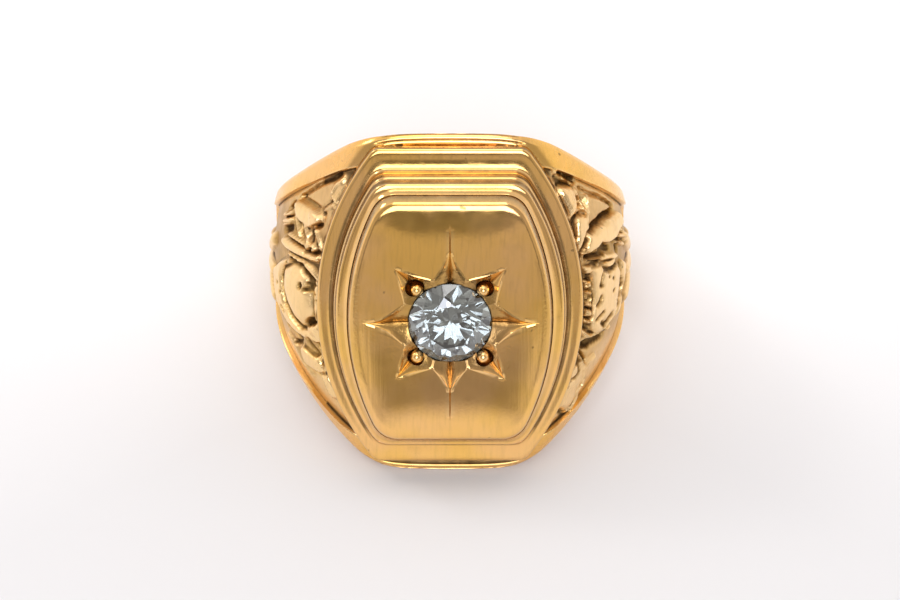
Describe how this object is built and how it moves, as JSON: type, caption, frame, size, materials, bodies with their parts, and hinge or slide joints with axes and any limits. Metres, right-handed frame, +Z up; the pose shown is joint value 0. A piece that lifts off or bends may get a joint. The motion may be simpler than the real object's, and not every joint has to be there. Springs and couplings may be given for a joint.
{
  "type": "signet ring",
  "caption": "Heavy gold signet ring with a stepped barrel-shaped head, a round brilliant in an engraved star, carved shoulders and a plain shank.",
  "frame": {"origin": "centre of the finger hole, halfway along the ring's length on the finger", "axes": "+Z is up with the ring lying on its side as it rests by itself, -Y is the side of the face, and +X is to the right seen from the face. The finger hole's axis leans back from +Z by the angle at which the ring lies."},
  "size_m": [0.0226, 0.0263, 0.0206],
  "materials": {
    "gold": "polished yellow gold, a little worn, darker in the carving",
    "diamond": "clear colourless cut stone with polished facets"
  },
  "bodies": {
    "root": {"ring_body": "gold", "diamond": "diamond"}
  },
  "joints": []
}
